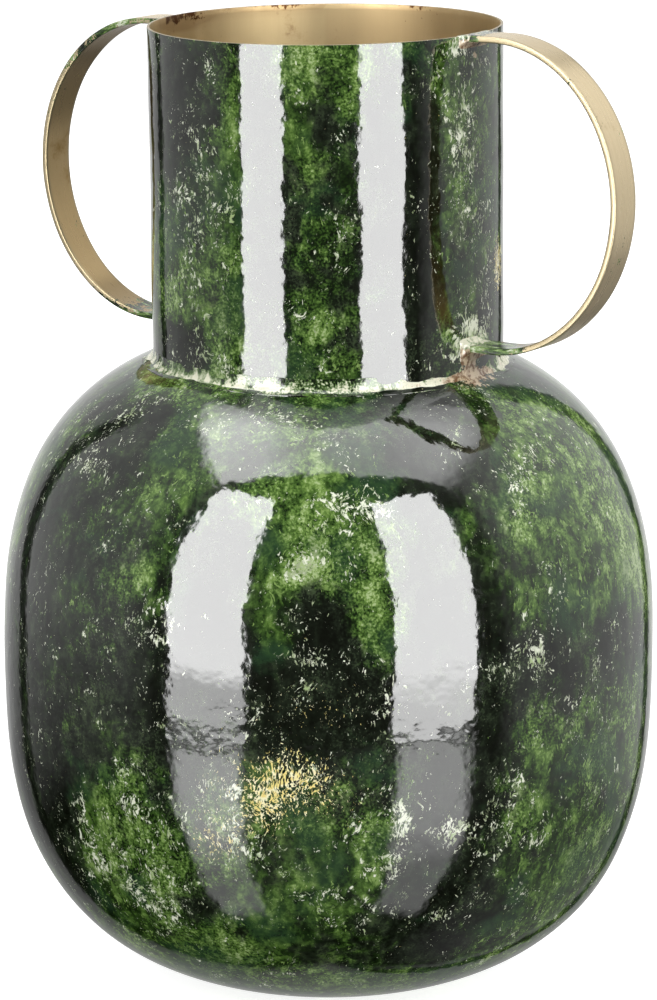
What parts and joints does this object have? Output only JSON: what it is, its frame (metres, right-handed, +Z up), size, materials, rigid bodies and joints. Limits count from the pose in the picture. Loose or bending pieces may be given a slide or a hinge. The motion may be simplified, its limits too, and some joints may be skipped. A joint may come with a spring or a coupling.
{
  "type": "metal vase",
  "caption": "Bulbous enamelled sheet-metal vase with a straight open neck and flat strap handles, for cut or dried flowers.",
  "frame": {"origin": "centre of the standing ring under the base, on the table plane", "axes": "+Z up along the vase's axis, +X through the right handle, +Y towards the back"},
  "size_m": [0.251, 0.24, 0.35],
  "materials": {
    "enamel": "gloss",
    "weld_enamel": "gloss",
    "brass": "satin"
  },
  "bodies": {
    "root": {"lower_bowl": "enamel", "upper_shoulder": "enamel", "neck_tube": "enamel", "belly_weld": "enamel", "neck_weld": "weld_enamel", "right_handle": "brass", "right_handle_upper_weld": "weld_enamel", "right_handle_lower_weld": "weld_enamel", "left_handle": "brass", "left_handle_upper_weld": "weld_enamel", "left_handle_lower_weld": "weld_enamel"}
  },
  "joints": []
}
